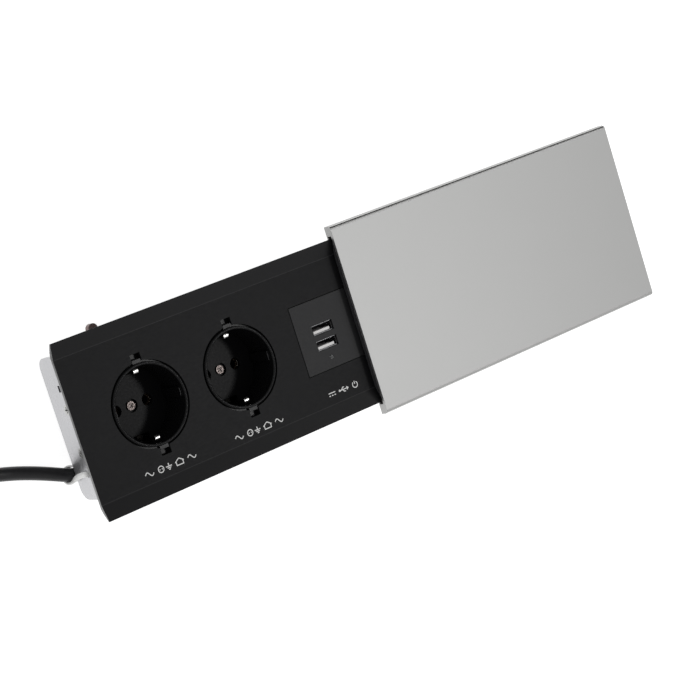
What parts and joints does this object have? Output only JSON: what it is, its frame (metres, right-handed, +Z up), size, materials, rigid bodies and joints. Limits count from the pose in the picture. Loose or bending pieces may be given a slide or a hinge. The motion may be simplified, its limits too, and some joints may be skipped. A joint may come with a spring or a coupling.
{
  "type": "desk power strip",
  "caption": "Recessed desk power strip with round earthed sockets, USB charging ports, a sliding metal lid, mounting claws and a coiled mains lead.",
  "frame": {"origin": "middle of the open unit's footprint, on the surface that the housing stands on", "axes": "+X along the body towards the open lid, +Z up out of the desk top"},
  "size_m": [0.5408, 0.1607, 0.0504],
  "materials": {
    "black_anodised": "satin anodised",
    "silver_anodised": "fine satin anodised",
    "silver_plate": "satin",
    "gloss_black": "glossy moulded",
    "matte_black": "fine moulded texture",
    "housing_black": "moulded",
    "bearing_grey": "smooth",
    "zinc": "zinc plated",
    "dark_zinc": "dark passivated",
    "spring_brass": "rolled",
    "copper": "rolled",
    "nickel": "nickel plated",
    "ivory_plastic": "moulded",
    "board_green": "solder mask",
    "transformer_tape": "tape",
    "capacitor_sleeve": "sleeve",
    "chip_black": "moulded",
    "clear_indicator": "clear",
    "cord_black": "extruded PVC",
    "lead_brown": "extruded",
    "lead_blue": "extruded",
    "lead_green_yellow": "extruded",
    "tie_white": "nylon",
    "tie_black": "nylon"
  },
  "bodies": {
    "strip_body": {"top_plate": "black_anodised", "lid_stop_pins": "zinc", "socket_insert_1": "gloss_black", "socket_insert_2": "gloss_black", "earth_clip_1": "spring_brass", "earth_clip_2": "spring_brass", "socket_screws": "zinc", "contact_carrier_1": "ivory_plastic", "contact_carrier_2": "ivory_plastic", "live_bar": "copper", "neutral_bar": "copper", "earth_bar": "spring_brass", "terminal_screws": "zinc", "usb_faceplate": "matte_black", "usb_port_shell_1": "nickel", "usb_port_shell_2": "nickel", "usb_tongue_1": "matte_black", "usb_tongue_2": "matte_black", "usb_board": "board_green", "usb_board_screws": "zinc", "usb_transformer": "transformer_tape", "usb_capacitors": "capacitor_sleeve", "usb_chips": "chip_black", "usb_indicator": "clear_indicator", "housing": "housing_black", "bottom_cover": "housing_black", "cover_screws": "zinc", "end_plate_left": "silver_plate", "end_plate_right": "silver_plate", "end_plate_screws": "zinc", "cord_clamp": "ivory_plastic", "cord_clamp_screw": "zinc", "strain_relief": "cord_black", "live_lead": "lead_brown", "neutral_lead": "lead_blue", "earth_lead": "lead_green_yellow", "usb_live_lead": "lead_brown", "usb_neutral_lead": "lead_blue", "power_cord": "cord_black", "cord_coil": "cord_black", "cord_tail": "cord_black", "coil_ties": "tie_black", "cable_tie": "tie_white", "plug_body": "cord_black", "plug_pins": "nickel", "plug_earth_strips": "spring_brass"},
    "lid": {"lid": "silver_anodised", "lid_end_bars": "matte_black", "lid_glides": "bearing_grey"},
    "spindle_a": {"clamp_screw_a": "zinc", "clamp_clip_a": "zinc"},
    "claw_a": {"clamp_claw_a": "dark_zinc"},
    "spindle_b": {"clamp_screw_b": "zinc", "clamp_clip_b": "zinc"},
    "claw_b": {"clamp_claw_b": "dark_zinc"}
  },
  "joints": [
    {"name": "lid_slide", "type": "slide", "parent": "strip_body", "child": "lid", "axis": [1, 0, 0], "range_m": [-0.1784, 0]},
    {"name": "claw_a_swing", "type": "hinge", "parent": "strip_body", "child": "spindle_a", "pos_m": [-0.1542, 0.034, 0.02], "axis": [0, 0, 1], "range_deg": [-90, 0]},
    {"name": "claw_a_lift", "type": "slide", "parent": "spindle_a", "child": "claw_a", "axis": [0, 0, 1], "range_m": [-0.0095, 0.004]},
    {"name": "claw_b_swing", "type": "hinge", "parent": "strip_body", "child": "spindle_b", "pos_m": [-0.0282, -0.034, 0.02], "axis": [0, 0, 1], "range_deg": [-90, 0]},
    {"name": "claw_b_lift", "type": "slide", "parent": "spindle_b", "child": "claw_b", "axis": [0, 0, 1], "range_m": [-0.0095, 0.004]}
  ]
}
